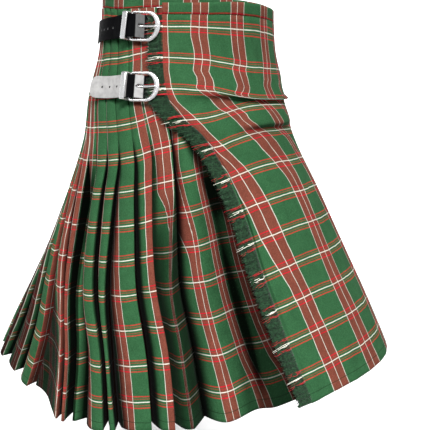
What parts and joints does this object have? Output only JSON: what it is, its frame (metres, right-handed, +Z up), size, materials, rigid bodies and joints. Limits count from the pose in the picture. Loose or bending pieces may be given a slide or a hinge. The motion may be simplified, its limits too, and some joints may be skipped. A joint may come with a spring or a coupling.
{
  "type": "kilt",
  "caption": "Tartan kilt filled out as when worn: pleated back, crossed aprons with a frayed edge, and leather straps fastened in chrome buckles at the right hip.",
  "frame": {"origin": "middle of the waist at the height of the rim, where the wearer's waist carries it", "axes": "+Z up, -Y towards the wearer's front, -X towards the wearer's right side"},
  "size_m": [0.569, 0.6579, 0.6057],
  "materials": {
    "cloth": "green tartan twill with red and white lines",
    "waistband": "the same tartan, folded at the waist",
    "fringe": "frayed wool threads",
    "black_leather": "smooth, half matt",
    "grey_leather": "smooth, half matt",
    "chrome": "polished"
  },
  "bodies": {
    "root": {"pleats": "cloth", "under_apron": "cloth", "outer_apron": "cloth", "waistband_back": "waistband", "waistband_apron": "waistband", "apron_fringe": "fringe", "strap_upper": "black_leather", "strap_lower": "grey_leather", "chape_upper": "black_leather", "chape_lower": "black_leather", "buckle_upper": "chrome", "buckle_lower": "chrome", "keeper_upper": "chrome", "keeper_lower": "chrome", "prong_upper": "chrome", "prong_lower": "chrome"}
  },
  "joints": []
}
